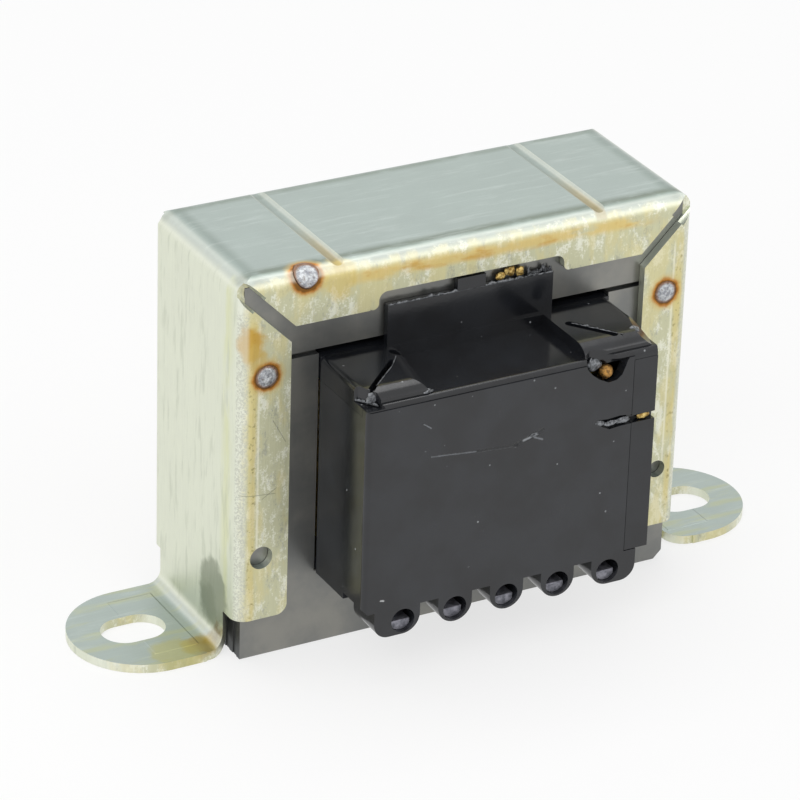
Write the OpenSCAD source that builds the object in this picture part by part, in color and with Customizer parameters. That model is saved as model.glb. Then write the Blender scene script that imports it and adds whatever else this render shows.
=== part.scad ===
// Laminated chassis transformer: EI-42 core in a folded mounting bracket, moulded coil
// former with a clip-on terminal cover and five pin terminals at the lower front.
// Frame: X across the mounting feet, -Y is the terminal side, Z up, feet rest on Z = 0.

/* [Core] */
// Width of one sixth of the core (outer leg, yoke and window width)
leg = 7; // [7:0.5:8]
// Number of sheets in the stack
sheet_count = 23; // [19:2:27]
// Pitch of the sheets in the stack
sheet_pitch = 0.65; // [0.5:0.05:0.7]
// Varnish gap left between two sheets
sheet_gap = 0.03; // [0.02:0.01:0.06]
// Air gap where the E legs meet the I sheet
joint_gap = 0.45; // [0.3:0.05:0.6]
// How far every second sheet stands back at the sides
stagger = 0.1; // [0.05:0.05:0.15]

/* [Bracket] */
// Thickness of the bracket sheet
sheet = 0.8; // [0.7:0.1:1]
// Outer radius of the folds towards the flanges
fold_r = 1.3; // [1.1:0.1:1.4]
// Width of the flanges that grip the core faces, from the outer face
flange = 4.8; // [4.4:0.1:5.2]
// Height at which the side flanges end
flange_foot = 4.1; // [3.6:0.1:4.5]
// Half width of the notch in the top flange
notch_half = 8.9; // [8.5:0.1:9.2]
// Extra height of the notch
notch_rise = 1.5; // [1.2:0.1:1.8]
// Width of the mitre gap at the upper corners
mitre = 1.25; // [1:0.05:1.6]
// Position of the two pressed grooves across the top
groove_x = 12.5; // [11.5:0.1:13.5]

/* [Feet] */
// Distance between the two slot centres
slot_span = 55; // [54.6:0.1:55.4]
// Slot length, end to end
slot_len = 5.8; // [5.6:0.1:6.2]
// Slot width
slot_w = 4.3; // [4:0.1:4.5]
// Width of a foot
foot_w = 13; // [12.6:0.1:13.2]
// Overall length across the feet
foot_span = 66.4; // [66:0.1:67]
// Outer radius of the foot bend, on the side towards the core
bend_r = 2; // [1.6:0.1:2.6]

/* [Terminals] */
// Pitch of the five terminals
pin_pitch = 5; // [4.9:0.05:5.08]
// Radius of the hole in a terminal boss
boss_bore = 1.1; // [1.05:0.05:1.15]
// Outer radius of a terminal boss
boss_r = 1.62; // [1.55:0.01:1.65]
// Height of the boss centre line
boss_z = 6; // [5.9:0.05:6.1]

/* [Hidden] */
$fn = 48;
eps = 0.01;
core_w = 6 * leg;
core_h = 5 * leg;
core_lift = 0.05;
stack = sheet_count * sheet_pitch;
half_t = stack / 2 + 0.025;
in_x = core_w / 2;
in_z = core_h + 0.12;
out_x = in_x + sheet;
out_y = half_t + sheet;
out_z = in_z + sheet;
foot_x = foot_span / 2;
foot_half = foot_w / 2;
relief_r = 0.85;
front = half_t + 8.6;
cover_x = 13.9;
deck = 26.4;
deck_hi = 27.45;
slot_floor = 26;
lip_y = front - 0.1;
lip_z = 25.96;
post_x = 11.62;
cover_top = 25.94;
wall = 0.9;

// ---------- shared shapes ----------

// Box given by two opposite corners
module block(a, b) {
    translate(a) cube([b[0] - a[0], b[1] - a[1], b[2] - a[2]]);
}

// Rectangle with rounded corners, centred
module round_rect(w, h, r) {
    square([w - 2 * r, h], center = true);
    square([w, h - 2 * r], center = true);
    for (sx = [-1, 1], sy = [-1, 1])
        translate([sx * (w / 2 - r), sy * (h / 2 - r)]) circle(r = r);
}

// Slot outline along X
module slot2d(len, w) {
    square([len - w, w], center = true);
    for (s = [-1, 1]) translate([s * (len - w) / 2, 0]) circle(d = w);
}

// Extrusion of an XZ outline from y0 to y1
module along_y(y0, y1) {
    translate([0, y1, 0]) rotate([90, 0, 0]) linear_extrude(y1 - y0) children();
}

// Extrusion of a YZ outline from x0 to x1
module along_x(x0, x1) {
    translate([x0, 0, 0]) rotate([90, 0, 90]) linear_extrude(x1 - x0) children();
}

// ---------- mounting bracket ----------

// Rectangle standing on the X axis with its two upper corners rounded
module arch2d(half, h, r) {
    translate([-half, -1]) square([2 * half, h + 1 - r]);
    translate([-half + r, -1]) square([2 * (half - r), h + 1]);
    for (s = [-1, 1]) translate([s * (half - r), h - r]) circle(r = r);
}

// Channel blank: outer skin with all folds rounded
module bracket_skin() {
    intersection() {
        along_y(-out_y, out_y) arch2d(out_x, out_z, 1.7);
        along_x(-out_x, out_x) arch2d(out_y, out_z, fold_r);
        linear_extrude(out_z + 1) round_rect(2 * out_x, 2 * out_y, fold_r);
    }
}

// Opening between the flanges, with the notch in the top flange
module flange_window2d() {
    x = out_x - flange;
    z = out_z - flange;
    translate([-x, -1]) square([2 * x, z + 1]);
    translate([-notch_half, z - 1]) square([2 * notch_half, notch_rise + 0.2]);
    translate([-notch_half + 0.8, z - 1])
        square([2 * notch_half - 1.6, notch_rise + 1]);
    for (s = [-1, 1]) translate([s * (notch_half - 0.8), z + notch_rise - 0.8])
        circle(r = 0.8);
    for (s = [-1, 1]) difference() {
        translate([s * (notch_half + 0.4), z + 0.2]) square([0.8, 0.4], center = true);
        translate([s * (notch_half + 0.5), z + 0.5]) circle(r = 0.5);
    }
}

// Side flange ends, cut square with a small inner corner radius
module flange_ends2d() {
    x = out_x - flange;
    translate([-30, -1]) square([60, flange_foot + 1]);
    for (s = [-1, 1]) difference() {
        translate([s * (x + 0.5), flange_foot + 0.5]) square(1.02, center = true);
        translate([s * (x + 1), flange_foot + 1]) circle(r = 1);
    }
}

// Mitre gap and round relief at one upper corner, s = side, f = front or back
module mitre_cut(s, f) {
    translate([s * out_x, 0, out_z - 0.5]) rotate([0, s * 45, 0]) {
        block([-mitre / 2, f > 0 ? half_t - eps : -out_y - 1, -12],
              [mitre / 2, f > 0 ? out_y + 1 : -half_t + eps, 3]);
        translate([0, f * (out_y - 0.05), 0]) cylinder(r = relief_r, h = 5, center = true);
    }
}

// Bent foot: neck, bend and flat with rounded end, for the +X side
module foot() {
    bx = in_x + bend_r;
    intersection() {
        union() {
            block([in_x, -out_y, bend_r - eps], [out_x, out_y, flange_foot + 0.3]);
            translate([bx, 0, bend_r]) rotate([90, 0, 0]) difference() {
                cylinder(r = bend_r, h = 2 * out_y, center = true, $fn = 64);
                cylinder(r = bend_r - sheet, h = 3 * out_y, center = true, $fn = 64);
                translate([0, -10, -20]) cube([20, 20, 40]);
                translate([-10, 0, -20]) cube([20, 20, 40]);
            }
            block([bx - eps, -out_y, 0], [foot_x, out_y, sheet]);
        }
        linear_extrude(flange_foot + 1) foot_plan2d();
    }
}

// Plan outline of a foot
module foot_plan2d() {
    translate([foot_x - foot_half, 0]) circle(r = foot_half, $fn = 96);
    translate([in_x - 1, -foot_half]) square([foot_x - foot_half - in_x + 1, foot_w]);
}

// Screw slot through a foot
module foot_slot() {
    translate([0, 0, -1]) linear_extrude(3) slot2d(slot_len, slot_w);
}

// Rounding that narrows the neck of a foot at the front: side, centre of the round, radius
module neck_scoop(s, x, r) {
    translate([s * x, -foot_half, -1]) linear_extrude(flange_foot + 1.001) difference() {
        translate([s > 0 ? -4 : 0, -1]) square([4, r + 1.1]);
        translate([0, r + 0.1]) circle(r = r, $fn = 64);
    }
}

// Holes for the plug welds and the two open holes below them
module flange_holes2d() {
    for (s = [-1, 1]) translate([s * 19.25, 27]) circle(r = 1.05);
    translate([-19.5, 10]) circle(r = 1.05);
    translate([19.45, 9.7]) circle(r = 0.82);
}

module mounting_bracket() {
    color([0.78, 0.78, 0.7]) difference() {
        union() {
            difference() {
                bracket_skin();
                block([-in_x, -half_t, -2], [in_x, half_t, in_z]);
                along_y(-out_y - 1, out_y + 1) flange_window_cut();
                along_y(-out_y - 1, -half_t) flange_ends2d();
                along_y(half_t, out_y + 1) flange_ends2d();
                block([-30, -out_y - 1, -2], [30, out_y + 1, flange_foot - eps]);
            }
            foot();
            mirror([1, 0, 0]) foot();
        }
        for (s = [-1, 1], f = [-1, 1]) mitre_cut(s, f);
        for (s = [-1, 1]) translate([s * slot_span / 2, 0, 0]) foot_slot();
        neck_scoop(-1, 23.6, 3);
        neck_scoop(1, 25, 2);
        along_y(-out_y - 1, -half_t + eps) flange_holes2d();
        along_y(half_t - eps, out_y + 1) flange_holes2d();
        fold_hole();
        for (s = [-1, 1]) translate([s * groove_x, 0, out_z + 0.55]) rotate([90, 0, 0])
            cylinder(r = 0.85, h = 40, center = true);
    }
}

// Window cut, kept clear of the webs
module flange_window_cut() {
    intersection() {
        flange_window2d();
        translate([-in_x + 1, -2]) square([2 * in_x - 2, in_z + 1]);
    }
}

// Hole through the front top fold for the corner weld
module fold_hole() {
    translate([-15.6, -out_y + fold_r, out_z - fold_r]) rotate([45, 0, 0])
        cylinder(r = 1.15, h = 6, $fn = 48);
}

// ---------- plug welds ----------

// One weld plug in a flange hole, bead proud of the sheet, pointing to -Y
module plug(r) {
    rotate([90, 0, 0]) {
        cylinder(r = r - 0.03, h = sheet);
        translate([0, 0, sheet - 3.39]) intersection() {
            sphere(r = 3.54);
            translate([0, 0, 3.39]) cylinder(r = r - 0.03, h = 2);
        }
    }
}

module front_plug_welds() {
    color([0.75, 0.73, 0.7]) {
        for (s = [-1, 1]) translate([s * 19.25, -half_t, 27]) plug(1.05);
        translate([-15.6, -out_y + fold_r, out_z - fold_r]) difference() {
            intersection() {
                rotate([45, 0, 0]) cylinder(r = 1.12, h = 3);
                rotate([0, 90, 0]) cylinder(r = fold_r + 0.1, h = 4, center = true, $fn = 64);
            }
            block([-3, sheet - fold_r, -5], [3, 5, fold_r - sheet]);
        }
    }
}

module rear_plug_welds() {
    color([0.75, 0.73, 0.7])
        for (s = [-1, 1]) translate([s * 19.25, half_t, 27]) mirror([0, 1, 0]) plug(1.05);
}

// ---------- laminations ----------

// E outline, yoke at the bottom
module e_outline() {
    h = 4 * leg - joint_gap + 0.15;
    difference() {
        translate([-in_x, core_lift]) square([core_w, h - core_lift]);
        for (s = [-1, 1])
            translate([s * 1.5 * leg, leg + 10 + 0.15]) square([leg, 20], center = true);
        for (s = [-1, 1]) translate([s * 1.5 * leg, 4 * leg]) square([leg, 3 * leg], center = true);
    }
}

// I outline on top
module i_outline() {
    translate([-in_x, 4 * leg + 0.15]) square([core_w, leg - 0.1]);
}

// One sheet of the stack, n counts from the front
module sheet_at(n) {
    y = -stack / 2 + n * sheet_pitch;
    along_y(y + sheet_gap / 2, y + sheet_pitch - sheet_gap / 2) children();
}

// Outline turned upside down, stepped back at the sides
module inverted2d() {
    intersection() {
        translate([0, core_h + 0.05]) mirror([0, 1]) children();
        translate([-in_x + stagger, -1]) square([core_w - 2 * stagger, core_h + 2]);
    }
}

// The front sheet has its lower right corner nipped off
module e_laminations_upright() {
    color([0.5, 0.5, 0.49]) for (n = [0 : 2 : sheet_count - 1]) sheet_at(n)
        difference() {
            e_outline();
            if (n == 0) translate([in_x, core_lift]) rotate(45) square(1.1, center = true);
        }
}

module i_laminations_top() {
    color([0.52, 0.52, 0.51]) for (n = [0 : 2 : sheet_count - 1]) sheet_at(n) i_outline();
}

module e_laminations_inverted() {
    color([0.45, 0.45, 0.44])
        for (n = [1 : 2 : sheet_count - 1]) sheet_at(n) inverted2d() e_outline();
}

module i_laminations_bottom() {
    color([0.47, 0.47, 0.46])
        for (n = [1 : 2 : sheet_count - 1]) sheet_at(n) inverted2d() i_outline();
}

// ---------- coil former ----------

// Blind wire slot in a raised end of the upper flange, from a to b in plan
module wire_slot(a, b, w) {
    v = b - a;
    translate([a[0] + v[0] / 2, a[1] + v[1] / 2, slot_floor])
        rotate(atan2(v[1], v[0])) linear_extrude(3) slot2d(norm(v) + w, w);
}

// Outline of the upper flange seen from above, front edge given
module flange2d(edge) {
    translate([-cover_x, -edge]) square([2 * cover_x, edge + 15]);
}

module coil_former() {
    color([0.1, 0.11, 0.12]) difference() {
        union() {
            // tube
            difference() {
                block([-leg - 1, -half_t - 1, leg + 0.3], [leg + 1, half_t + 1, deck_hi]);
                block([-leg - 0.15, -half_t - 0.15, 0],
                      [leg + 0.15, half_t + 0.15, 40]);
            }
            // lower flange, set in behind the cover's left wall
            difference() {
                translate([0, 0, leg + 0.25]) linear_extrude(1) former_ring2d(15);
                block([-cover_x - 1, -15.1, leg], [-cover_x + wall + 0.03, -half_t - 0.05, leg + 2]);
            }
            // upper flange, its front lip resting over the cover
            translate([0, 0, 25.3]) linear_extrude(0.68) former_ring2d(15.05);
            translate([0, 0, lip_z]) linear_extrude(deck - lip_z) former_ring2d(lip_y);
            // raised ends with rounded long edges
            difference() {
                raised_end(-1, 0.5);
                inner_slope();
            }
            difference() {
                raised_end(1, 0.8);
                corner_slope();
            }
            // collar under the yoke
            translate([0, 0, deck - eps]) linear_extrude(deck_hi - deck + eps) difference() {
                square([2 * cover_x, 2 * half_t + 0.4], center = true);
                square([2 * leg + 0.3, 2 * half_t + 0.3], center = true);
            }
            barrier_plate();
            latch_post();
        }
        wire_slot([-12.75, -14.55], [-8.9, -10.85], 0.55);
        wire_slot([8.1, -10.95], [10.5, -14.15], 0.8);
        translate([-7.85, -9.35, 26.9]) cylinder(r = 0.5, h = 2, $fn = 32);
        block([11, -front - 0.2, 19.6], [cover_x + 0.1, -front + 0.6, 20.3]);
        for (i = [-2 : 2]) block([i * pin_pitch - 0.62, -14.35, 6], [i * pin_pitch + 0.62, -13.25, 9]);
        chipped_corners();
        lip_rounding(0.43, deck);
        lip_rounding(1.9, deck_hi);
    }
}

// Flange plan with the opening for the centre leg
module former_ring2d(edge) {
    difference() {
        flange2d(edge);
        square([2 * leg + 0.3, 2 * half_t + 0.3], center = true);
    }
}

// Raised end of the upper flange, s = side, r = radius of its outer long edge
module raised_end(s, r) {
    w = cover_x - 6.95;
    translate([0, -half_t - 0.25, 0]) rotate([90, 0, 0]) linear_extrude(lip_y - half_t - 0.25)
        union() {
            translate([s > 0 ? cover_x - w : -cover_x, deck - 0.1]) square([w, deck_hi - deck - r + 0.1]);
            translate([s > 0 ? cover_x - w : -cover_x + r, deck - 0.1]) square([w - r, deck_hi - deck + 0.1]);
            translate([s * (cover_x - r), deck_hi - r]) circle(r = r, $fn = 64);
        }
}

// Long rounded slope on the inner side of the left raised end
module inner_slope() {
    r = 1.7;
    translate([-8.55, -10.5, deck_hi - r]) rotate(-9.5) difference() {
        block([0, -8, r - deck_hi + deck], [4, 2.2, r + 1]);
        rotate([90, 0, 0]) cylinder(r = r, h = 30, center = true, $fn = 96);
    }
}

// Slope that takes the front right corner down to the latch post
module corner_slope() {
    translate([cover_x, -front, 26]) rotate([0, 38, -18]) translate([-4, -4, 0]) cube([8, 13, 4]);
}

// Upright barrier in front of the yoke with its centre tongue
module barrier_plate() {
    block([-7.95, -half_t - 0.65, deck - 0.2], [7.95, -half_t - 0.05, 31.15]);
    block([-1.35, -half_t - 0.65, 31], [1.35, -half_t - 0.05, 32.3]);
}

// Post at the right front that the cover latches behind
module latch_post() {
    block([post_x, -front + 0.05, leg + 0.25], [cover_x, -front + 1.1, lip_z + 0.01]);
    block([cover_x - wall, -front + 0.06, leg + 0.25], [cover_x, -half_t - 0.1, 25.4]);
}

// Broken front corners of the raised ends
module chipped_corners() {
    translate([0, 0, 26.05]) linear_extrude(3) polygon([
        [-14.5, -13.3], [-13.6, -13.7], [-13.2, -14.5], [-12.6, -15.0],
        [-12.4, -15.7], [-11.6, -16.6], [-15, -17]
    ]);
    translate([0, 0, 25]) linear_extrude(4) polygon([
        [6.9, -17], [7.0, -15.6], [7.5, -15.35], [8.6, -15.45], [9.4, -15.65],
        [9.9, -15.85], [10.5, -16.0], [10.9, -17]
    ]);
}

// Rounded front edge of the upper flange: radius, height of the face above it
module lip_rounding(r, z) {
    difference() {
        block([-15, -lip_y - 1, z - r], [15, -lip_y + r, z + 2]);
        translate([0, -lip_y + r, z - r]) rotate([0, 90, 0])
            cylinder(r = r, h = 40, center = true, $fn = 96);
    }
}

// ---------- windings and insulation ----------

// Coil ring between two build depths, from z0 to z1
module coil_ring(d0, d1, z0, z1) {
    translate([0, 0, z0]) linear_extrude(z1 - z0) difference() {
        round_rect(2 * (leg + 1 + d1), 2 * (half_t + 1 + d1), d1 + 0.3);
        if (d0 < 0.1) square([2 * (leg + 1 + d0), 2 * (half_t + 1 + d0)], center = true);
        else round_rect(2 * (leg + 1 + d0), 2 * (half_t + 1 + d0), d0 + 0.3);
    }
}

module primary_winding() {
    color([0.72, 0.42, 0.22]) coil_ring(0.03, 1.9, leg + 1.3, 25.25);
}

module interwinding_insulation() {
    color([0.85, 0.75, 0.4]) coil_ring(1.93, 2.15, leg + 1.3, 25.25);
}

module secondary_winding() {
    color([0.75, 0.45, 0.25]) coil_ring(2.18, 3.85, leg + 1.3, 25.25);
}

module outer_insulation() {
    color([0.85, 0.78, 0.5]) coil_ring(3.88, 4.1, leg + 1.3, 25.25);
}

// ---------- terminal cover ----------

// Boss outline in XZ: straight sides above, round below; wider at an end boss
module boss2d(i) {
    x = i * pin_pitch;
    translate([x, boss_z]) circle(r = boss_r, $fn = 64);
    translate([x - boss_r, boss_z]) square([2 * boss_r, 7.2 - boss_z]);
    if (abs(i) == 2) {
        s = sign(i);
        translate([s > 0 ? x : x - 1.35, boss_z - boss_r]) square([1.35, 7.2 - boss_z + boss_r]);
        translate([s > 0 ? x : x - 2.75, boss_z - boss_r + 1.4])
            square([2.75, 7.2 - boss_z + boss_r - 1.4]);
        translate([x + s * 1.35, boss_z - boss_r + 1.4]) circle(r = 1.4, $fn = 64);
    }
}

module terminal_cover() {
    color([0.14, 0.15, 0.17]) difference() {
        union() {
            // front wall
            difference() {
                block([-cover_x, -front, 6.95], [11.55, -front + 1, cover_top]);
                translate([-cover_x, 0, 6.95]) rotate([0, 45, 0]) cube([0.7, 60, 0.7], center = true);
            }
            // left wall, its lower edge stepped up near the front
            block([-cover_x, -front + 0.1, 7.5], [-cover_x + wall, -half_t - 0.1, 25.28]);
            block([-cover_x, -12.6, 6.9], [-cover_x + wall, -half_t - 0.1, 7.6]);
            block([-cover_x, -front + 0.1, 25.2], [-cover_x + wall, -15.1, cover_top]);
            // bosses
            for (i = [-2 : 2]) along_y(-front, -12.4) boss2d(i);
        }
        // bore of each boss with a throat for the terminal
        for (i = [-2 : 2]) translate([i * pin_pitch, 0, 0]) {
            along_y(-front - 1, -13.2) translate([0, boss_z - 0.35]) circle(r = boss_bore);
            block([-0.62, -14.35, boss_z], [0.62, -13.25, 8]);
        }
        // the lower flange of the former sits on the bosses
        block([-cover_x + wall, -15.05, leg + 0.22], [cover_x + 1, -7, leg + 1.28]);
        // end relief beside the latch post
        block([11.7, -front + 0.35, 7.1], [cover_x + 1, -12, 8]);
        // rounded front left edge
        translate([-cover_x, -front, 0]) linear_extrude(30) difference() {
            translate([-1, -1]) square(1.5);
            translate([0.5, 0.5]) circle(r = 0.5, $fn = 48);
        }
        broken_edge();
        crack();
    }
}

// Broken upper edge of the front wall
module broken_edge() {
    translate([0, -front - 1, 0]) rotate([90, 0, 0]) mirror([0, 0, 1]) linear_extrude(3)
        polygon([
            [6.8, 26.2], [7.0, 25.6], [7.5, 25.0], [8.2, 24.45], [9.1, 24.0],
            [9.9, 24.1], [10.4, 24.5], [10.7, 25.2], [10.9, 25.75], [11.3, 26.2]
        ]);
}

// Gouged slit across the front wall at the right
module crack() {
    translate([0, -front - 0.6, 0]) rotate([90, 0, 0]) mirror([0, 0, 1]) linear_extrude(1)
        polygon([
            [7.9, 20.3], [8.3, 20.6], [9.2, 20.5], [10.4, 20.6], [12, 20.4],
            [12, 19.6], [10.6, 19.6], [9.4, 19.5], [8.6, 19.9]
        ]);
}

// ---------- terminals ----------

// One terminal: half-round stub in the boss bore, post up through the flange
module terminal(i) {
    x = i * pin_pitch;
    color([0.6, 0.6, 0.63]) {
        along_y(-front + 0.45, -13.35) intersection() {
            translate([x, boss_z - 0.35]) circle(r = boss_bore - 0.03);
            translate([x - 1.2, boss_z - 1.6]) square([2.05, 1.1]);
        }
        block([x - 0.45, -14.2, boss_z - 0.6], [x + 0.45, -13.4, 10.4]);
    }
}

module terminal_1() { terminal(-2); }
module terminal_2() { terminal(-1); }
module terminal_3() { terminal(0); }
module terminal_4() { terminal(1); }
module terminal_5() { terminal(2); }

// ---------- leads ----------

// Round wire through a list of points
module wire(pts, r) {
    for (k = [0 : len(pts) - 2]) {
        v = pts[k + 1] - pts[k];
        translate(pts[k]) rotate([0, acos(v[2] / norm(v)), atan2(v[1], v[0])])
            cylinder(r = r, h = norm(v), $fn = 20);
    }
    for (p = pts) translate(p) sphere(r = 1.2 * r, $fn = 20);
}

// Two turns of wire wrapped round the post of terminal i
module wrap(i, r) {
    for (k = [0, 1]) translate([i * pin_pitch, -13.8, 9.1 + 1.8 * k * r])
        rotate_extrude($fn = 32) translate([0.62 + r, 0]) circle(r = r, $fn = 16);
}

// Lead wrapped on a post, rising beside it and turning into the coil face
module lead(i, top, r) {
    x = i * pin_pitch;
    color([0.8, 0.5, 0.28]) {
        wrap(i, r);
        wire([[x, -14.42 - r, 9.15 + 1.8 * r], [x, -14.42 - r, top], [x, -12.64 - r, top]], 0.92 * r);
    }
}

module primary_start_lead() { lead(-2, 20, 0.16); }
module primary_finish_lead() { lead(-1, 17, 0.16); }
module secondary_start_lead() { lead(0, 19, 0.24); }
module secondary_tap_lead() { lead(1, 16.5, 0.24); }

// The last lead ends in a burnt blob that shows in the broken corner
module secondary_finish_lead() {
    color([0.8, 0.5, 0.28]) {
        wrap(2, 0.24);
        wire([
            [10, -14.66, 9.6], [11.05, -14.66, 17], [11.05, -14.66, 21.5],
            [9.3, -14.66, 24.2], [9.1, -15.45, 24.8]
        ], 0.22);
        translate([9.1, -15.55, 24.85]) sphere(r = 0.6, $fn = 24);
    }
}

mounting_bracket();
front_plug_welds();
rear_plug_welds();
e_laminations_upright();
i_laminations_top();
e_laminations_inverted();
i_laminations_bottom();
coil_former();
primary_winding();
interwinding_insulation();
secondary_winding();
outer_insulation();
terminal_cover();
terminal_1();
terminal_2();
terminal_3();
terminal_4();
terminal_5();
primary_start_lead();
primary_finish_lead();
secondary_start_lead();
secondary_tap_lead();
secondary_finish_lead();
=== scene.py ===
import math
import random

import bmesh
import bpy
from mathutils import Matrix, Vector, noise


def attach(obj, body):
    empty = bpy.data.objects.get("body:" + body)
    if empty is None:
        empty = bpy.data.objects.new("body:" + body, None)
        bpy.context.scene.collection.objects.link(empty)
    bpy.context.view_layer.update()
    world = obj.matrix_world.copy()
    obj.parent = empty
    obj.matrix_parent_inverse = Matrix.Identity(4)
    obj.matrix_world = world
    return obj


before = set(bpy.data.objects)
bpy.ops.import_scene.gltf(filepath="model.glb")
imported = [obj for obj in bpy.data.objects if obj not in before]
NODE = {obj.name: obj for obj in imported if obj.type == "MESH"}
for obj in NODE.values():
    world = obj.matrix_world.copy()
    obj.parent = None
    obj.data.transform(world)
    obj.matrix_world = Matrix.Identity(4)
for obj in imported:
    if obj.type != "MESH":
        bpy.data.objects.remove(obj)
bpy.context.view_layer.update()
MM = 0.001

# Places in the row frame, in mm
FLANGE_Y = 8.3            # outer face of a gripping flange
BRACKET_TOP_Z = (34, 35)  # above this a point is on the top web, not on a foot
GROOVE_X = 12.5           # middle of each pressed groove
GROOVE_HALF = 0.5
WELD_X, WELD_Z = 19.25, 27.0
TOP_WELD = (-15.6, -8.05, 35.4)
PLATE_TOP_Z = 31.13       # just under the top edge of the barrier plate
RIM_Z = 27.43             # rims of the wire slots


# ---------------------------------------------------------------- colour helpers

def lin(h):
    """A 0xRRGGBB screen colour as linear RGBA."""
    out = []
    for k in (16, 8, 0):
        v = ((h >> k) & 255) / 255
        out.append(v / 12.92 if v <= 0.04045 else ((v + 0.055) / 1.055) ** 2.4)
    return (*out, 1.0)


class Mat:
    """A node material. Its coordinates are the row frame's, in millimetres."""

    def __init__(self, name):
        self.m = bpy.data.materials.new(name)
        self.m.use_nodes = True
        self.t = self.m.node_tree
        self.t.nodes.clear()
        self.out = self.new("ShaderNodeOutputMaterial")
        self.p = self.new("ShaderNodeBsdfPrincipled")
        self.t.links.new(self.p.outputs[0], self.out.inputs[0])
        tc = self.new("ShaderNodeTexCoord")
        s = self.new("ShaderNodeVectorMath", operation="SCALE")
        self.put(s.inputs[0], tc.outputs["Object"])
        s.inputs["Scale"].default_value = 1000.0
        self.co = s.outputs[0]
        sep = self.new("ShaderNodeSeparateXYZ")
        self.put(sep.inputs[0], self.co)
        self.x, self.y, self.z = sep.outputs
        geo = self.new("ShaderNodeNewGeometry")
        sn = self.new("ShaderNodeSeparateXYZ")
        self.put(sn.inputs[0], geo.outputs["Normal"])
        self.nx, self.ny, self.nz = sn.outputs
        self.normal = None

    def new(self, kind, **attrs):
        n = self.t.nodes.new(kind)
        for k, v in attrs.items():
            setattr(n, k, v)
        return n

    def put(self, socket, value):
        if isinstance(value, bpy.types.NodeSocket):
            self.t.links.new(value, socket)
        else:
            socket.default_value = value

    def f(self, op, a, b=0.0, clamp=False):
        n = self.new("ShaderNodeMath", operation=op, use_clamp=clamp)
        for s, v in zip(n.inputs, (a, b)):
            self.put(s, v)
        return n.outputs[0]

    def mul(self, *v):
        out = v[0]
        for w in v[1:]:
            out = self.f("MULTIPLY", out, w)
        return out

    def add(self, *v):
        out = v[0]
        for w in v[1:]:
            out = self.f("ADD", out, w)
        return out

    def inv(self, a):
        return self.f("SUBTRACT", 1.0, a)

    def top(self, *v):
        out = v[0]
        for w in v[1:]:
            out = self.f("MAXIMUM", out, w)
        return out

    def step(self, v, lo, hi, a=0.0, b=1.0):
        """a below lo, b above hi, smooth between. lo may be above hi."""
        if lo > hi:
            lo, hi, a, b = hi, lo, b, a
        n = self.new("ShaderNodeMapRange", interpolation_type="SMOOTHSTEP", clamp=True)
        for k, w in zip(("Value", "From Min", "From Max", "To Min", "To Max"), (v, lo, hi, a, b)):
            self.put(n.inputs[k], w)
        return n.outputs[0]

    def band(self, v, lo, hi, soft):
        """1 between lo and hi, fading to 0 over soft on either side."""
        return self.mul(self.step(v, lo - soft, lo + soft), self.step(v, hi + soft, hi - soft))

    def noise(self, scale, stretch=(1, 1, 1), detail=3.0, rough=0.55, seed=0.0, warp=0.0):
        m = self.new("ShaderNodeMapping")
        self.put(m.inputs["Vector"], self.co)
        m.inputs["Scale"].default_value = tuple(scale * s for s in stretch)
        m.inputs["Location"].default_value = (seed * 3.1, seed * 1.7, seed * 2.3)
        n = self.new("ShaderNodeTexNoise")
        self.put(n.inputs["Vector"], m.outputs[0])
        n.inputs["Scale"].default_value = 1.0
        n.inputs["Detail"].default_value = detail
        n.inputs["Roughness"].default_value = rough
        n.inputs["Distortion"].default_value = warp
        return n.outputs[0]

    def cells(self, scale, seed=0.0):
        m = self.new("ShaderNodeMapping")
        self.put(m.inputs["Vector"], self.co)
        m.inputs["Scale"].default_value = (scale, scale, scale)
        m.inputs["Location"].default_value = (seed * 2.1, seed, seed * 1.3)
        n = self.new("ShaderNodeTexVoronoi", feature="F1")
        self.put(n.inputs["Vector"], m.outputs[0])
        n.inputs["Scale"].default_value = 1.0
        return n.outputs["Distance"]

    def away(self, p, squash=(1, 1, 1)):
        """Distance from point p in mm, with each axis scaled by squash."""
        d = self.new("ShaderNodeVectorMath", operation="SUBTRACT")
        self.put(d.inputs[0], self.co)
        d.inputs[1].default_value = p
        s = self.new("ShaderNodeVectorMath", operation="MULTIPLY")
        self.put(s.inputs[0], d.outputs[0])
        s.inputs[1].default_value = squash
        n = self.new("ShaderNodeVectorMath", operation="LENGTH")
        self.put(n.inputs[0], s.outputs[0])
        return n.outputs["Value"]

    def line(self, a, b):
        """Distance in mm from the segment between two (x, z) points."""
        ax, az = a
        dx, dz = b[0] - a[0], b[1] - a[1]
        q = dx * dx + dz * dz
        px, pz = self.f("SUBTRACT", self.x, ax), self.f("SUBTRACT", self.z, az)
        t = self.f("MULTIPLY", self.add(self.mul(px, dx), self.mul(pz, dz)), 1 / q, clamp=True)
        ex = self.f("SUBTRACT", px, self.mul(t, dx))
        ez = self.f("SUBTRACT", pz, self.mul(t, dz))
        return self.f("SQRT", self.add(self.mul(ex, ex), self.mul(ez, ez)))

    def mix(self, fac, a, b, blend="MIX"):
        n = self.new("ShaderNodeMix", data_type="RGBA", blend_type=blend)
        self.put(n.inputs[0], fac)
        for s, v in ((n.inputs[6], a), (n.inputs[7], b)):
            self.put(s, lin(v) if isinstance(v, int) else v)
        return n.outputs[2]

    def bump(self, height, mm, strength=1.0):
        """Add relief of mm at height 1, on top of any bump made before."""
        n = self.new("ShaderNodeBump")
        n.inputs["Strength"].default_value = strength
        n.inputs["Distance"].default_value = mm * MM
        self.put(n.inputs["Height"], height)
        if self.normal is not None:
            self.put(n.inputs["Normal"], self.normal)
        self.normal = n.outputs[0]

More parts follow.
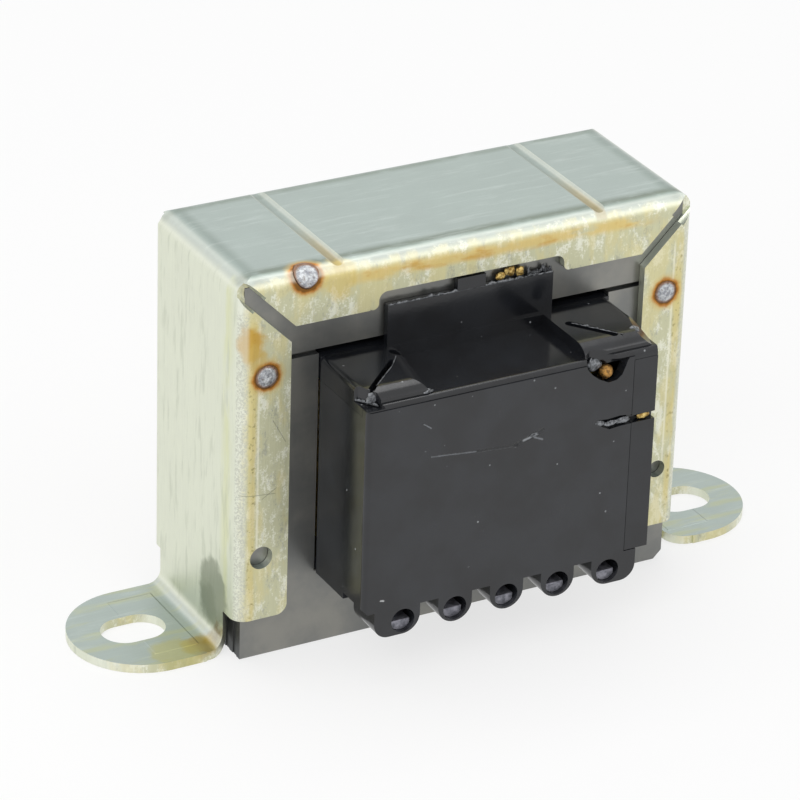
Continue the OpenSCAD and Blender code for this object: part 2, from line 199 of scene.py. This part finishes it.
    def done(self, colour, rough, metallic=0.0, **sockets):
        self.put(self.p.inputs["Base Color"], colour)
        self.put(self.p.inputs["Roughness"], rough)
        self.p.inputs["Metallic"].default_value = metallic
        for k, v in sockets.items():
            self.p.inputs[k.replace("_", " ")].default_value = v
        if self.normal is not None:
            self.put(self.p.inputs["Normal"], self.normal)
        return self.m


# ---------------------------------------------------------------- materials

WELDS = [(-WELD_X, -FLANGE_Y, WELD_Z), (WELD_X, -FLANGE_Y, WELD_Z), TOP_WELD,
         (-WELD_X, FLANGE_Y, WELD_Z), (WELD_X, FLANGE_Y, WELD_Z)]
TOP_WELD_INDEX = WELDS.index(TOP_WELD)

# Stains on the bracket: place, radius, colour, amount
STAINS = [
    ((-20.7, -FLANGE_Y, 30.2), 1.3, 0xC39A3C, 0.9),
    ((-20.3, -FLANGE_Y, 28.9), 0.9, 0xC9AE63, 0.7),
    ((-21.8, -3.9, 5.0), 2.6, 0x8E9580, 0.75),
    ((-21.9, -3.0, 3.6), 1.6, 0x8E9580, 0.6),
    ((-22.6, -4.9, 2.0), 1.0, 0x7A5A1E, 0.95),
    ((-23.6, -5.0, 1.3), 1.6, 0xA8923E, 0.8),
    ((-26.0, -5.2, 0.8), 2.2, 0xB5B070, 0.6),
    ((-12.6, -FLANGE_Y, 34.6), 1.6, 0xD8C170, 0.6),
]

# Faint scratches on the flanges, from one (x, z) to another
SCRATCHES = [
    ((-21.5, 16.2), (-18.3, 15.9)),
    ((-19.5, 15.6), (-18.2, 16.4)),
    ((-18.6, 22.8), (-17.4, 20.6)),
    ((16.0, 8.0), (18.9, 7.1)),
]


def bracket_material():
    g = Mat("zinc_sheet")
    ax, ay = g.f("ABSOLUTE", g.nx), g.f("ABSOLUTE", g.ny)
    out = g.f("ABSOLUTE", g.x)
    crown = g.step(g.z, *BRACKET_TOP_Z)
    side = g.step(ax, 0.45, 0.8)
    up = g.step(g.nz, 0.45, 0.8)
    face = g.step(ay, 0.45, 0.8)
    fold = g.step(g.top(ax, ay, g.f("ABSOLUTE", g.nz)), 0.985, 0.86)
    # brushing: upright on the webs and side flanges, along X on the top and the feet
    b_up = g.noise(7.0, (1, 1, 0.05), detail=4, rough=0.65, seed=1)
    b_x = g.noise(7.0, (0.05, 1, 1), detail=4, rough=0.65, seed=2)
    brush = g.f("ADD", g.mul(b_x, up), g.mul(b_up, g.inv(up)))
    cloud = g.noise(0.35, detail=5, rough=0.6, seed=3)
    patch = g.noise(0.9, (1, 1, 0.55), detail=5, rough=0.7, seed=4)
    grain = g.noise(5.5, detail=3, rough=0.7, seed=5)
    c = g.mix(side, 0xC9C9A9, 0xDDE1CF)
    # painted shade: upward faces are painted darker grey-green, partly the plating's own tint and partly
    # painted shade
    c = g.mix(up, c, 0xA3AEA9)
    # pale crystalline patches and greyer ones on the flanges
    white = g.mul(face, g.step(g.add(g.mul(patch, 0.7), g.mul(grain, 0.3)), 0.5, 0.58))
    c = g.mix(g.mul(white, 0.75), c, 0xEFF0E2)
    dapple = g.noise(0.8, (1.3, 1, 0.5), seed=8, detail=5, rough=0.7)
    grey = g.mul(face, g.step(g.add(g.mul(dapple, 0.7), g.mul(grain, 0.3)), 0.53, 0.62))
    c = g.mix(g.mul(grey, 0.7), c, 0xA7A898)
    straw = g.mul(face, g.step(g.noise(0.55, (1, 1, 0.35), seed=6, detail=4), 0.48, 0.62))
    c = g.mix(g.mul(straw, 0.55), c, 0xD9CF98)
    # web: faint yellow strip near the front fold, green tint near the edges
    strip = g.mul(side, g.band(g.y, -6.9, -5.4, 0.7),
                  g.step(g.noise(0.8, (1, 1, 0.2), seed=9), 0.35, 0.6))
    c = g.mix(g.mul(strip, 0.5), c, 0xD6D9A0)
    dull = g.mul(side, g.step(g.noise(1.3, (1, 1, 0.18), seed=10, detail=5), 0.52, 0.68))
    c = g.mix(g.mul(dull, 0.35), c, 0xB4BAA6)
    # mottled outer fold of the side flanges and the yellow line beside it
    edge = g.mul(g.band(out, 20.9, 21.9, 0.25), g.step(ay, 0.3, 0.5), g.step(g.z, 33.5, 32.5))
    c = g.mix(g.mul(edge, g.step(grain, 0.42, 0.58), 0.75), c, 0xA5A796)
    yel = g.mul(face, g.band(out, 20.15, 20.85, 0.2), g.step(g.z, 33.0, 31.5),
                g.step(g.noise(0.9, (1, 1, 0.25), seed=11), 0.3, 0.55))
    c = g.mix(g.mul(yel, 0.7), c, 0xD8C987)
    brown = g.mul(yel, g.step(g.noise(2.2, seed=12, detail=5), 0.56, 0.66))
    c = g.mix(g.mul(brown, 0.7), c, 0x8F8657)
    line = g.mul(face, g.band(out, 19.86, 20.04, 0.06), g.step(g.z, 32, 31), g.step(g.z, 9, 11))
    c = g.mix(g.mul(line, 0.55), c, 0xF2F0DC)
    # top flange: golden belt below the bright fold
    gold = g.mul(g.band(g.z, 33.9, 34.9, 0.35), g.step(ay, 0.35, 0.55),
                 g.step(g.noise(0.45, (0.5, 1, 1), seed=13, detail=4), 0.3, 0.5),
                 g.band(g.x, -11.5, 17.0, 2.0))
    c = g.mix(g.mul(gold, 0.85), c, 0xDDC47C)
    rich = g.mul(gold, g.step(g.noise(0.8, (0.4, 1, 1), seed=14, detail=5), 0.5, 0.66))
    c = g.mix(g.mul(rich, 0.7), c, 0xC99A45)
    # top: darker line before the front fold and beside the side folds
    front_line = g.band(g.y, -7.3, -6.4, 0.55)
    back_line = g.band(g.y, 6.6, 7.3, 0.4)
    dark = g.mul(up, crown, g.top(front_line, g.mul(back_line, 0.6)))
    c = g.mix(g.mul(dark, 0.8, g.step(g.noise(0.7, (0.6, 1, 1), seed=15), 0.2, 0.5)), c, 0x6F7A6A)
    sidedark = g.mul(up, crown, g.band(out, 19.6, 20.5, 0.5))
    c = g.mix(g.mul(sidedark, 0.5), c, 0x7F8C84)
    streak = g.mul(up, g.step(g.noise(1.3, (0.12, 1, 1), seed=16, detail=5, rough=0.7), 0.5, 0.72))
    c = g.mix(g.mul(streak, 0.35), c, 0xC3CCC8)
    # feet: yellow-green tint along X
    tint = g.mul(up, g.step(g.z, 3, 2), g.step(g.noise(0.7, (0.2, 1, 1), seed=17, detail=4), 0.5, 0.66))
    c = g.mix(g.mul(tint, 0.5), c, 0xB3B68A)
    # grooves: painted darker grey along their length as painted shade in the recess, and a straw tint at
    # their front ends
    for gx in (-GROOVE_X, GROOVE_X):
        gr = g.mul(g.band(g.x, gx - GROOVE_HALF, gx + GROOVE_HALF, 0.12), g.step(g.z, 35.0, 35.3))
        c = g.mix(g.mul(gr, 0.5), c, 0x8F9A93)
        c = g.mix(g.mul(gr, g.step(g.y, 2, -6), 0.6), c, 0xA9935B)
    # rust rings round the welds
    for i, p in enumerate(WELDS):
        big = 1.35 if i == TOP_WELD_INDEX else 1.12
        d = g.add(g.away(p), g.mul(g.f("SUBTRACT", g.noise(1.5, seed=20 + i), 0.5), 0.5))
        c = g.mix(g.mul(g.step(d, big + 0.85, big + 0.15), 0.6), c, 0xCFB26B)
        c = g.mix(g.mul(g.step(d, big + 0.42, big + 0.05), 0.9), c, 0xB4701E)
        c = g.mix(g.mul(g.step(d, big + 0.15, big - 0.05), 0.8), c, 0x6A4A22)
    # stains
    for p, r, col, amount in STAINS:
        ragged = g.f("SUBTRACT", g.noise(0.9, seed=p[2], detail=4), 0.5)
        d = g.add(g.away(p, (1, 1, 0.8)), g.mul(ragged, 1.6))
        c = g.mix(g.mul(g.step(d, r + 0.35, r - 0.5), amount), c, col)
    # painted highlight: the bends between faces are lightened towards near white
    c = g.mix(g.mul(fold, 0.35), c, 0xEDEFE4)
    shade = g.add(0.88, g.mul(brush, 0.14), g.mul(cloud, 0.1))
    c = g.mix(1.0, c, combine(g, shade), "MULTIPLY")
    for a, b in SCRATCHES:
        c = g.mix(g.mul(face, g.step(g.line(a, b), 0.06, 0.02), 0.45), c, 0x6D6F60)
    g.bump(g.add(g.mul(brush, 0.5), g.mul(grain, 0.25), g.mul(patch, 0.5)), 0.035, 0.8)
    # press marks on the feet, beside the slots
    foot = g.mul(up, g.step(g.z, 1.2, 0.9))
    rect = g.mul(g.band(out, 23.5, 27.6, 0.08), g.band(g.y, -4.7, 4.9, 0.08))
    g.bump(g.mul(foot, rect), 0.12, 0.8)
    rough = g.add(0.3, g.mul(cloud, 0.12), g.mul(grain, 0.1), g.mul(white, 0.08))
    return g.done(c, rough, 0.82)


def combine(g, v):
    """A value as an even grey."""
    n = g.new("ShaderNodeCombineColor")
    for s in n.inputs:
        g.put(s, v)
    return n.outputs[0]


def core_material(name, base, light, seed):
    g = Mat(name)
    fine = g.noise(6, (1, 1, 0.08), detail=4, rough=0.6, seed=seed)
    cloud = g.noise(0.22, detail=4, seed=seed + 1)
    c = g.mix(g.step(cloud, 0.3, 0.7), base, light)
    c = g.mix(g.mul(g.step(g.noise(1.6, detail=5, seed=seed + 2), 0.62, 0.75), 0.3), c, 0x83837E)
    # cut edges are darker and carry traces of varnish
    edge = g.step(g.f("ABSOLUTE", g.ny), 0.6, 0.3)
    c = g.mix(g.mul(edge, 0.75), c, 0x3B3E42)
    c = g.mix(g.mul(edge, g.step(g.noise(2.5, (1, 1, 0.3), seed=seed + 3), 0.5, 0.7), 0.6), c, 0x6B6D6C)
    g.bump(g.add(g.mul(fine, 0.6), g.mul(cloud, 0.4)), 0.02, 0.6)
    rough = g.add(0.24, g.mul(fine, 0.08), g.mul(cloud, 0.12), g.mul(edge, 0.15))
    return g.done(c, rough, 0.9)


def plastic_material(name, base, lighter, seed, marks=()):
    g = Mat(name)
    cloud = g.noise(0.25, detail=3, seed=seed)
    c = g.mix(g.step(cloud, 0.35, 0.65), base, lighter)
    specks = g.step(g.cells(0.55, seed=seed), 0.07, 0.03)
    c = g.mix(g.mul(specks, g.step(g.noise(0.6, seed=seed + 2), 0.45, 0.55), 0.75), c, 0x9A9DA0)
    smear = g.step(g.noise(1.2, (1, 1, 0.4), seed=seed + 5, detail=6, rough=0.75, warp=0.6), 0.62, 0.8)
    c = g.mix(g.mul(smear, 0.25), c, 0x3A3D42)
    g.bump(g.noise(0.18, detail=2, seed=seed + 3), 0.12, 0.35)
    g.bump(g.noise(3.5, detail=4, seed=seed + 4), 0.008, 0.5)
    rough = g.add(0.13, g.mul(cloud, 0.06), g.mul(smear, 0.2))
    for a, b, w, col in marks:
        d = g.add(g.line(a, b), g.mul(g.f("SUBTRACT", g.noise(3.0, seed=seed + a[0]), 0.5), 0.12))
        front = g.step(g.ny, -0.7, -0.9)
        m = g.mul(front, g.step(d, w, w * 0.35))
        c = g.mix(g.mul(m, 0.85), c, col)
        g.bump(g.mul(m, -1.0), 0.12, 0.8)
        rough = g.add(rough, g.mul(m, 0.3))
    return g.done(c, rough, 0.0, IOR=1.54)


def wire_material():
    g = Mat("enamelled_copper")
    turns = g.f("SINE", g.mul(g.z, 2 * math.pi / 0.42))
    c = g.mix(g.step(g.noise(1.5, detail=4), 0.35, 0.7), 0x9C5426, 0xC9803F)
    # painted shade: darker in the gaps between the turns of wire
    c = g.mix(g.mul(g.step(turns, -0.2, -0.95), 0.5), c, 0x4C2410)
    g.bump(turns, 0.05, 0.7)
    return g.done(c, g.add(0.22, g.mul(g.noise(4), 0.12)), 0.85)


def lead_material():
    g = Mat("burnt_copper")
    c = g.mix(g.step(g.noise(2.2, detail=5, rough=0.7, seed=3), 0.38, 0.62), 0x5B4327, 0xB98A48)
    c = g.mix(g.mul(g.step(g.noise(3.1, detail=5, seed=8), 0.55, 0.7), 0.7), c, 0x2A2118)
    g.bump(g.noise(4.5, detail=5, rough=0.7), 0.12, 0.9)
    return g.done(c, g.add(0.3, g.mul(g.noise(5, seed=4), 0.25)), 0.75)


def tape_material():
    g = Mat("polyester_tape")
    c = g.mix(g.step(g.noise(0.3, detail=4), 0.3, 0.7), 0xC7A545, 0xDEC36B)
    lap = g.mul(g.step(g.ny, 0.6, 0.9), g.band(g.x, 4.2, 4.4, 0.05))
    c = g.mix(g.mul(lap, 0.6), c, 0x8A7432)
    wires = g.f("SINE", g.add(g.mul(g.z, 2 * math.pi / 0.9), g.noise(0.4, seed=5)))
    g.bump(g.add(g.mul(wires, 0.25), g.noise(0.9, (1, 1, 0.4), detail=4, seed=2)), 0.08, 0.5)
    return g.done(c, g.add(0.28, g.mul(g.noise(2.2, seed=6), 0.15)), 0.0, IOR=1.5)


def terminal_material():
    g = Mat("tinned_pin")
    c = g.mix(g.step(g.noise(1.8, detail=4, seed=2), 0.35, 0.65), 0x6A6B73, 0x9A9AA3)
    c = g.mix(g.mul(g.step(g.noise(3.5, detail=5, seed=7), 0.6, 0.7), 0.6), c, 0x3C3C42)
    g.bump(g.noise(4.0, detail=5, rough=0.7), 0.06, 0.8)
    return g.done(c, g.add(0.35, g.mul(g.noise(3, seed=5), 0.2)), 0.6)


def weld_material():
    g = Mat("weld_bead")
    c = g.mix(g.step(g.noise(2.4, detail=5, rough=0.7), 0.35, 0.65), 0x8E9096, 0xD3D6D8)
    c = g.mix(g.mul(g.step(g.noise(3.2, detail=5, seed=4), 0.55, 0.72), 0.6), c, 0x6E5A3C)
    for i, p in enumerate(WELDS):
        r = 1.1 if i == TOP_WELD_INDEX else 0.98
        d = g.away(p)
        near = g.step(d, 2.4, 2.2)
        c = g.mix(g.mul(near, g.step(d, r - 0.28, r), 0.85), c, 0x7A4E20)
    g.bump(g.noise(2.6, detail=5, rough=0.65, seed=9), 0.2, 0.9)
    return g.done(c, g.add(0.25, g.mul(g.noise(5, seed=6), 0.2)), 0.85)


def flash_material():
    g = Mat("torn_plastic")
    c = g.mix(g.step(g.noise(2.5, detail=5, rough=0.7), 0.35, 0.65), 0x23262A, 0x8B8E92)
    g.bump(g.noise(4.0, detail=4), 0.08, 0.7)
    return g.done(c, g.add(0.25, g.mul(g.noise(4, seed=2), 0.2)), 0.0, IOR=1.5)


def brass_material():
    g = Mat("bare_copper_bit")
    c = g.mix(g.step(g.noise(3.0, detail=5), 0.35, 0.65), 0x8A6A2C, 0xD9BE78)
    c = g.mix(g.mul(g.step(g.noise(4.2, seed=3, detail=4), 0.58, 0.7), 0.8), c, 0x4A2E16)
    g.bump(g.noise(5.0, detail=4), 0.1, 0.8)
    return g.done(c, g.add(0.25, g.mul(g.noise(5, seed=5), 0.2)), 0.7)


# Scratches and chips on the front of the cover: from (x, z), to (x, z), width, colour
FRONT_MARKS = [
    ((-7.8, 20.7), (-3.4, 20.25), 0.10, 0x5E6166),
    ((-3.4, 20.25), (0.4, 20.0), 0.14, 0x15171A),
    ((0.3, 20.0), (2.8, 20.9), 0.26, 0x15171A),
    ((1.0, 20.3), (2.3, 20.6), 0.16, 0x8C8F93),
    ((2.0, 20.4), (2.85, 20.0), 0.12, 0x6C6F74),
    ((-8.6, 23.9), (-7.9, 23.4), 0.09, 0x6C6F74),
    ((-12.2, 8.05), (-11.95, 8.0), 0.12, 0xC9CBCC),
]

MATS = {
    "zinc": bracket_material(),
    "weld": weld_material(),
    "core": core_material("core_steel_face", 0x7C7D7B, 0x908F89, 31),
    "core2": core_material("core_steel_inner", 0x70726F, 0x85857F, 47),
    "former": plastic_material("former_black", 0x141518, 0x1A1C20, 3),
    "cover": plastic_material("cover_black", 0x191A1D, 0x212327, 9, FRONT_MARKS),
    "wire": wire_material(),
    "lead": lead_material(),
    "tape": tape_material(),
    "pin": terminal_material(),
    "flash": flash_material(),
    "brass": brass_material(),
}

DRESS = {
    "mounting_bracket": "zinc", "front_plug_welds": "weld", "rear_plug_welds": "weld",
    "e_laminations_upright": "core", "i_laminations_top": "core",
    "e_laminations_inverted": "core2", "i_laminations_bottom": "core2",
    "coil_former": "former", "terminal_cover": "cover",
    "primary_winding": "wire", "secondary_winding": "wire",
    "interwinding_insulation": "tape", "outer_insulation": "tape",
    "primary_start_lead": "wire", "primary_finish_lead": "wire",
    "secondary_start_lead": "wire", "secondary_tap_lead": "wire",
    "secondary_finish_lead": "lead",
}
for i in range(1, 6):
    DRESS[f"terminal_{i}"] = "pin"
for name, o in NODE.items():
    o.data.materials.clear()
    o.data.materials.append(MATS[DRESS[name]])


# ---------------------------------------------------------------- small torn pieces

def keep(name, bm, mat):
    me = bpy.data.meshes.new(name)
    bm.to_mesh(me)
    bm.free()
    o = bpy.data.objects.new(name, me)
    bpy.context.scene.collection.objects.link(o)
    me.materials.append(mat)
    for p in me.polygons:
        p.use_smooth = True
    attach(o, "root")
    return o


def lump(name, at, size, mat, seed=0, rough=0.35, sub=3):
    """A small torn lump: an ellipsoid pushed about by noise. Sizes in mm."""
    bm = bmesh.new()
    bmesh.ops.create_icosphere(bm, subdivisions=sub, radius=1.0)
    for v in bm.verts:
        n = noise.fractal(v.co * 1.7 + Vector((seed, seed * 2, 0)), 1.0, 2.0, 4)
        v.co *= 1 + rough * n
        v.co = Vector((at[0] + v.co.x * size[0], at[1] + v.co.y * size[1], at[2] + v.co.z * size[2])) * MM
    return keep(name, bm, mat)


def fin(name, pts, height, mat, seed=0, thick=0.06, up=(0, 0, 1), n=60):
    """A ragged fin of flash that stands on the path through pts. Sizes in mm."""
    rnd = random.Random(seed)
    path = []
    total = sum((Vector(b) - Vector(a)).length for a, b in zip(pts, pts[1:]))
    for a, b in zip(pts, pts[1:]):
        a, b = Vector(a), Vector(b)
        m = max(2, int(n * (b - a).length / total))
        path += [a.lerp(b, i / m) for i in range(m)]
    path.append(Vector(pts[-1]))
    up = Vector(up).normalized()
    bm = bmesh.new()
    rows = []
    for i, p in enumerate(path):
        q = path[min(i + 1, len(path) - 1)] - path[max(i - 1, 0)]
        side = q.cross(up)
        side = side.normalized() * thick if side.length else Vector((0, thick, 0))
        h = height * (0.25 + 0.75 * abs(noise.noise(p * 1.9 + Vector((seed, 0, 0)))) * 1.6)
        h *= 0.7 + 0.6 * rnd.random()
        lean = side * (rnd.random() - 0.5) * 1.4
        rows.append([bm.verts.new((p - side) * MM), bm.verts.new((p + side) * MM),
                     bm.verts.new((p + up * h + lean) * MM)])
    for a, b in zip(rows, rows[1:]):
        bm.faces.new((a[0], b[0], b[2], a[2]))
        bm.faces.new((b[1], a[1], a[2], b[2]))
        bm.faces.new((a[0], a[1], b[1], b[0]))
    bm.faces.new(rows[0])
    bm.faces.new(list(reversed(rows[-1])))
    bmesh.ops.recalc_face_normals(bm, faces=bm.faces)
    return keep(name, bm, mat)


fin("barrier_flash", [(-7.9, -8.1, PLATE_TOP_Z), (7.9, -8.1, PLATE_TOP_Z)], 0.28, MATS["flash"], 3, n=120)
fin("barrier_flash_right", [(5.6, -7.75, PLATE_TOP_Z), (7.9, -7.75, PLATE_TOP_Z)], 0.75,
    MATS["flash"], 5, thick=0.2)
lump("burr_left_slot", (-12.9, -14.8, 26.6), (0.5, 0.22, 0.5), MATS["flash"], 2)
fin("burr_left_corner", [(-13.8, -13.6, 26.1), (-13.2, -14.5, 26.15), (-12.6, -15.4, 26.1)], 0.35,
    MATS["flash"], 7)
fin("burr_left_slot_rim", [(-8.2, -10.2, RIM_Z), (-9.3, -11.6, RIM_Z), (-12.2, -14.3, RIM_Z)], 0.12,
    MATS["flash"], 9)
lump("burr_deck_left", (-8.1, -15.4, 26.55), (0.55, 0.25, 0.2), MATS["flash"], 11)
fin("burr_right_slot_rim", [(8.3, -10.9, RIM_Z), (9.6, -12.6, RIM_Z), (11.2, -14.6, RIM_Z)], 0.16,
    MATS["flash"], 13)
lump("burr_right_edge", (12.6, -13.9, 27.2), (0.5, 0.4, 0.35), MATS["flash"], 15)
fin("broken_corner_rim",
    [(7.3, -15.7, 25.9), (8.3, -14.9, 26.35), (9.5, -14.7, 26.4), (10.3, -15.1, 26.3)],
    0.35, MATS["flash"], 17)
lump("broken_corner_shard", (7.9, -15.45, 25.6), (0.7, 0.3, 0.5), MATS["flash"], 19)
lump("burnt_bead", (9.1, -15.45, 24.75), (0.62, 0.45, 0.6), MATS["lead"], 21)
lump("brass_bit", (12.9, -15.72, 19.95), (0.6, 0.2, 0.32), MATS["brass"], 23)

# x, z and half sizes of the torn bits in the gouge, and of the crumbs on the barrier plate
GOUGE_DEBRIS = ((8.4, 20.15, 0.5, 0.3), (9.6, 20.0, 0.6, 0.25), (10.8, 20.05, 0.7, 0.28))
RUSTY_CRUMBS = ((2.9, 31.6, 0.45, 0.35), (3.8, 31.9, 0.5, 0.45), (4.8, 31.7, 0.4, 0.5))
for k, (x, z, sx, sz) in enumerate(GOUGE_DEBRIS):
    lump(f"gouge_debris_{k + 1}", (x, -15.95, z), (sx, 0.12, sz), MATS["flash"], 30 + k)
lump("chip_on_front", (2.0, -16.06, 20.6), (0.55, 0.05, 0.3), MATS["flash"], 41)
for k, (x, z, sx, sz) in enumerate(RUSTY_CRUMBS):
    lump(f"rusty_crumb_{k + 1}", (x, -7.85, z), (sx, 0.22, sz), MATS["brass"], 50 + k)


# ---------------------------------------------------------------- floor, light, camera

FLOOR_SIZE = 6.0       # m
FLOOR_DROP = 0.00002   # m below the feet, so that the two faces don't coincide
FLOOR_GREY = 0.8
FLOOR_GLOW = 0.72      # share of plain white in the floor that the camera and gloss see
AMBIENT = 0.55         # the world's light on the object; seen directly it is 1, white


def studio_floor():
    bpy.ops.mesh.primitive_plane_add(size=FLOOR_SIZE, location=(0, 0, -FLOOR_DROP))
    floor = bpy.context.object
    floor.name = "studio_floor"
    m = bpy.data.materials.new("floor_white")
    m.use_nodes = True
    t = m.node_tree
    t.nodes.clear()
    out = t.nodes.new("ShaderNodeOutputMaterial")
    mix = t.nodes.new("ShaderNodeMixShader")
    dif = t.nodes.new("ShaderNodeBsdfDiffuse")
    dif.inputs["Color"].default_value = (FLOOR_GREY, FLOOR_GREY, FLOOR_GREY, 1)
    glow = t.nodes.new("ShaderNodeEmission")
    glow.inputs["Strength"].default_value = 1.0
    lp = t.nodes.new("ShaderNodeLightPath")
    seen = t.nodes.new("ShaderNodeMath")
    seen.operation = "MAXIMUM"
    t.links.new(lp.outputs["Is Camera Ray"], seen.inputs[0])
    t.links.new(lp.outputs["Is Glossy Ray"], seen.inputs[1])
    part = t.nodes.new("ShaderNodeMath")
    part.operation = "MULTIPLY"
    part.inputs[1].default_value = FLOOR_GLOW
    t.links.new(seen.outputs[0], part.inputs[0])
    t.links.new(part.outputs[0], mix.inputs[0])
    t.links.new(dif.outputs[0], mix.inputs[1])
    t.links.new(glow.outputs[0], mix.inputs[2])
    t.links.new(mix.outputs[0], out.inputs[0])
    floor.data.materials.append(m)


def studio_world():
    w = bpy.data.worlds.new("studio")
    bpy.context.scene.world = w
    w.use_nodes = True
    t = w.node_tree
    t.nodes.clear()
    out = t.nodes.new("ShaderNodeOutputWorld")
    bg = t.nodes.new("ShaderNodeBackground")
    lp = t.nodes.new("ShaderNodeLightPath")
    a = t.nodes.new("ShaderNodeMath")
    a.operation = "MAXIMUM"
    b = t.nodes.new("ShaderNodeMath")
    b.operation = "MAXIMUM"
    t.links.new(lp.outputs["Is Camera Ray"], a.inputs[0])
    t.links.new(lp.outputs["Is Transmission Ray"], a.inputs[1])
    t.links.new(a.outputs[0], b.inputs[0])
    t.links.new(lp.outputs["Is Glossy Ray"], b.inputs[1])
    s = t.nodes.new("ShaderNodeMapRange")
    s.inputs["To Min"].default_value = AMBIENT
    s.inputs["To Max"].default_value = 1.0
    t.links.new(b.outputs[0], s.inputs["Value"])
    bg.inputs["Color"].default_value = (1, 1, 1, 1)
    t.links.new(s.outputs[0], bg.inputs["Strength"])
    t.links.new(bg.outputs[0], out.inputs[0])


LIGHT_TARGET = Vector((0, 0, 0.015))


def softbox(name, at, size, power):
    """A white rectangular lamp that faces the object. Metres and watts."""
    light = bpy.data.lights.new(name, "AREA")
    light.shape = "RECTANGLE"
    light.size, light.size_y = size
    light.energy = power
    o = bpy.data.objects.new(name, light)
    bpy.context.scene.collection.objects.link(o)
    o.location = at
    o.rotation_euler = (LIGHT_TARGET - Vector(at)).to_track_quat("-Z", "Y").to_euler()


studio_floor()
studio_world()
softbox("key_left", (-0.45, -0.35, 0.45), (0.5, 0.5), 2.2)
softbox("fill_right", (0.5, -0.4, 0.35), (0.5, 0.5), 1.0)
softbox("top", (0.0, 0.15, 0.6), (0.6, 0.4), 1.6)

# The camera, as fitted to the photograph: its place in metres and its own axes
EYE = (-0.16642, -0.294756, 0.189096)
RIGHT = (0.8800104, -0.4740743, 0.028902)
UP = (0.1925492, 0.4117272, 0.8907331)
BACK = (-0.4341734, -0.7782893, 0.4536068)
cam = bpy.data.cameras.new("camera")
cam.sensor_width = 36.0
cam.lens = 196.69
cam.clip_start = 0.01
eye = bpy.data.objects.new("camera", cam)
bpy.context.scene.collection.objects.link(eye)
turn = Matrix((RIGHT, UP, BACK)).transposed().to_4x4()
eye.matrix_world = Matrix.Translation(EYE) @ turn
bpy.context.scene.camera = eye
bpy.context.scene.view_settings.view_transform = "Standard"

bpy.context.view_layer.update()
